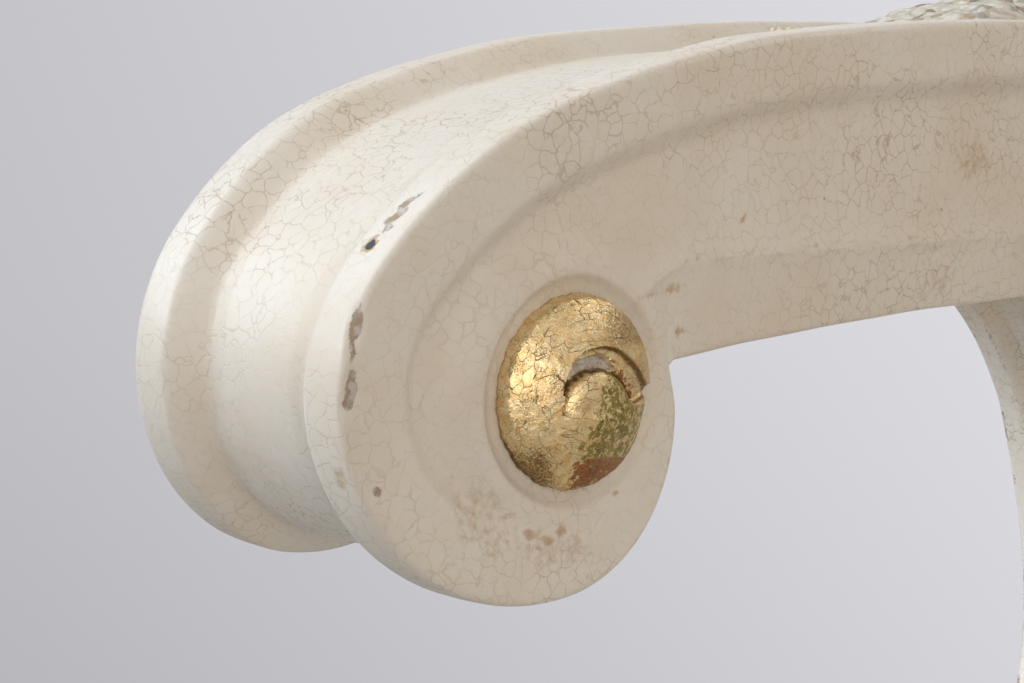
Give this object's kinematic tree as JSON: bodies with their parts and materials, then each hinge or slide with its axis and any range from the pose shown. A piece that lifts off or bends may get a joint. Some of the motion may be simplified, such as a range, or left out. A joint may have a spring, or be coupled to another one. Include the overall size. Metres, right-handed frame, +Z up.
{
  "type": "armchair",
  "caption": "Open-arm chair in crackled and chipped cream paint, with broad scrolled arms, gilt bosses, curved arm supports, fluted front legs, a loose padded seat and an upholstered back.",
  "frame": {"origin": "middle of the chair's box, on the floor", "axes": "+Z up, -Y the way the chair faces, +X to the sitter's left"},
  "size_m": [0.6374, 0.6366, 1.0027],
  "materials": {
    "paint": "satin cream paint on wood, finely crackled, chipped to a grey-brown ground at the edges",
    "gilding": "worn gold leaf over reddish clay on carved wood, with green and brown rubbed places",
    "tweed": "looped wool in white and cream with brown, tan and grey flecks",
    "braid": "woven cream braid",
    "bare_wood": "unpainted beech, dulled with age",
    "webbing": "jute webbing",
    "steel": "dull nickelled steel"
  },
  "bodies": {
    "root": {"right_arm": "paint", "left_arm": "paint", "right_arm_support": "paint", "left_arm_support": "paint", "right_inner_boss": "gilding", "right_outer_boss": "gilding", "left_inner_boss": "gilding", "left_outer_boss": "gilding", "right_arm_pad": "tweed", "left_arm_pad": "tweed", "right_pad_braid": "braid", "left_pad_braid": "braid", "right_front_leg": "paint", "left_front_leg": "paint", "right_back_post": "paint", "left_back_post": "paint", "front_rail": "paint", "back_rail": "paint", "right_side_rail": "paint", "left_side_rail": "paint", "right_front_corner_block": "bare_wood", "left_front_corner_block": "bare_wood", "right_back_corner_block": "bare_wood", "left_back_corner_block": "bare_wood", "crest_rail": "paint", "lower_back_rail": "paint", "rail_dowels": "bare_wood", "back_dowels": "bare_wood", "arm_dowels": "bare_wood", "corner_screws": "steel", "glides": "steel", "right_slip_bar": "bare_wood", "left_slip_bar": "bare_wood", "front_slip_bar": "bare_wood", "back_slip_bar": "bare_wood", "seat_webbing": "webbing", "seat_cushion": "tweed", "back_webbing": "webbing", "back_cushion": "tweed", "outside_back": "tweed", "back_braid": "braid"}
  },
  "joints": []
}
